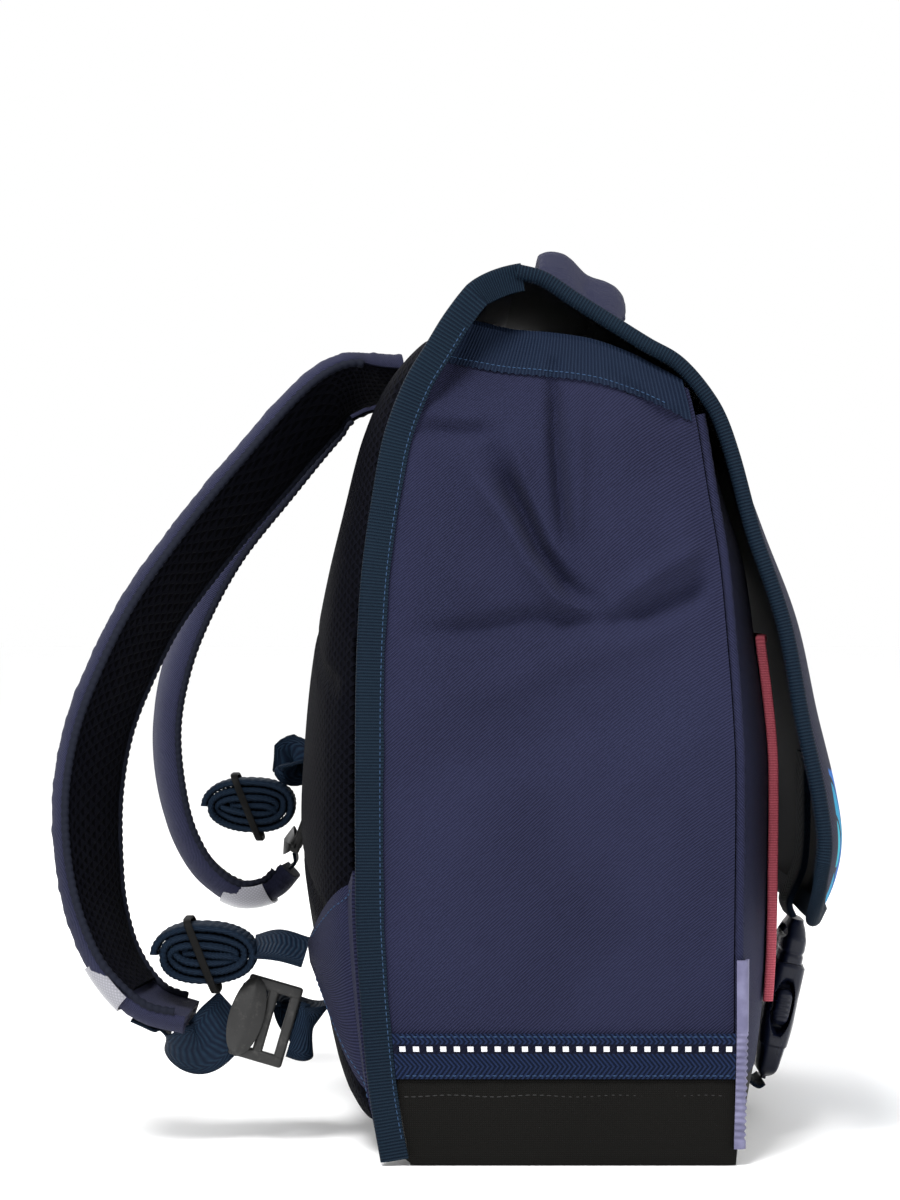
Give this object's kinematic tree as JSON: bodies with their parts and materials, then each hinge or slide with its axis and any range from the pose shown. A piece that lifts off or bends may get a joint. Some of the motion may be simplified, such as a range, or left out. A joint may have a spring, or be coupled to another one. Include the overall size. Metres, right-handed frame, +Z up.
{
  "type": "school backpack",
  "caption": "Boxy child's school backpack with a large front flap, padded mesh back, two adjustable shoulder straps, carry handle and side release buckle.",
  "frame": {"origin": "centre of the flat underside that the bag stands on", "axes": "+Z up along the bag's height, -Y towards the flap and buckle, +Y towards the wearer's back, -X the wearer's left"},
  "size_m": [0.3156, 0.346, 0.3982],
  "materials": {
    "twill": "diagonal twill cloth",
    "base_cloth": "coated canvas",
    "mesh": "air mesh",
    "binding": "ribbed tape",
    "tape": "herringbone tape with pale dashes",
    "ribbon": "ribbed ribbon",
    "guard": "satin",
    "handle_cloth": "smooth padded cloth",
    "trim": "narrow edge tape",
    "reflective": "retro-reflective tape",
    "lock_plastic": "worn satin",
    "webbing": "ribbed webbing",
    "band_rubber": "matt",
    "buckle_plastic": "semi-matt"
  },
  "bodies": {
    "root": {"back_panel": "twill", "front_panel": "twill", "base_panel": "base_cloth", "back_padding": "mesh", "side_panel_left": "twill", "side_panel_right": "twill", "edge_binding_left": "binding", "edge_binding_right": "binding", "piping_left": "binding", "piping_right": "binding", "side_tape_left": "tape", "side_tape_right": "tape", "gusset_ribbon_left": "ribbon", "gusset_ribbon_right": "ribbon", "corner_guard_left": "guard", "corner_guard_right": "guard", "flap": "twill", "flap_binding": "binding", "handle": "handle_cloth", "handle_tab_left": "handle_cloth", "handle_tab_right": "handle_cloth", "front_pocket": "twill", "front_pocket_trim": "trim", "shoulder_strap_left": "twill", "shoulder_strap_right": "twill", "strap_mesh_left": "mesh", "strap_mesh_right": "mesh", "reflective_band_left": "reflective", "reflective_band_right": "reflective", "anchor_tab_left": "twill", "anchor_tab_right": "twill", "ladder_lock_left": "lock_plastic", "ladder_lock_right": "lock_plastic", "webbing_bundle_left": "webbing", "webbing_bundle_right": "webbing", "bundle_band_left": "band_rubber", "bundle_band_right": "band_rubber", "strap_webbing_left": "webbing", "strap_webbing_right": "webbing", "anchor_webbing_left": "webbing", "anchor_webbing_right": "webbing", "adjuster_loop_left": "webbing", "adjuster_loop_right": "webbing", "flap_strap": "webbing", "buckle_lower_strap": "webbing", "buckle_plug": "buckle_plastic", "buckle_socket": "buckle_plastic"}
  },
  "joints": []
}
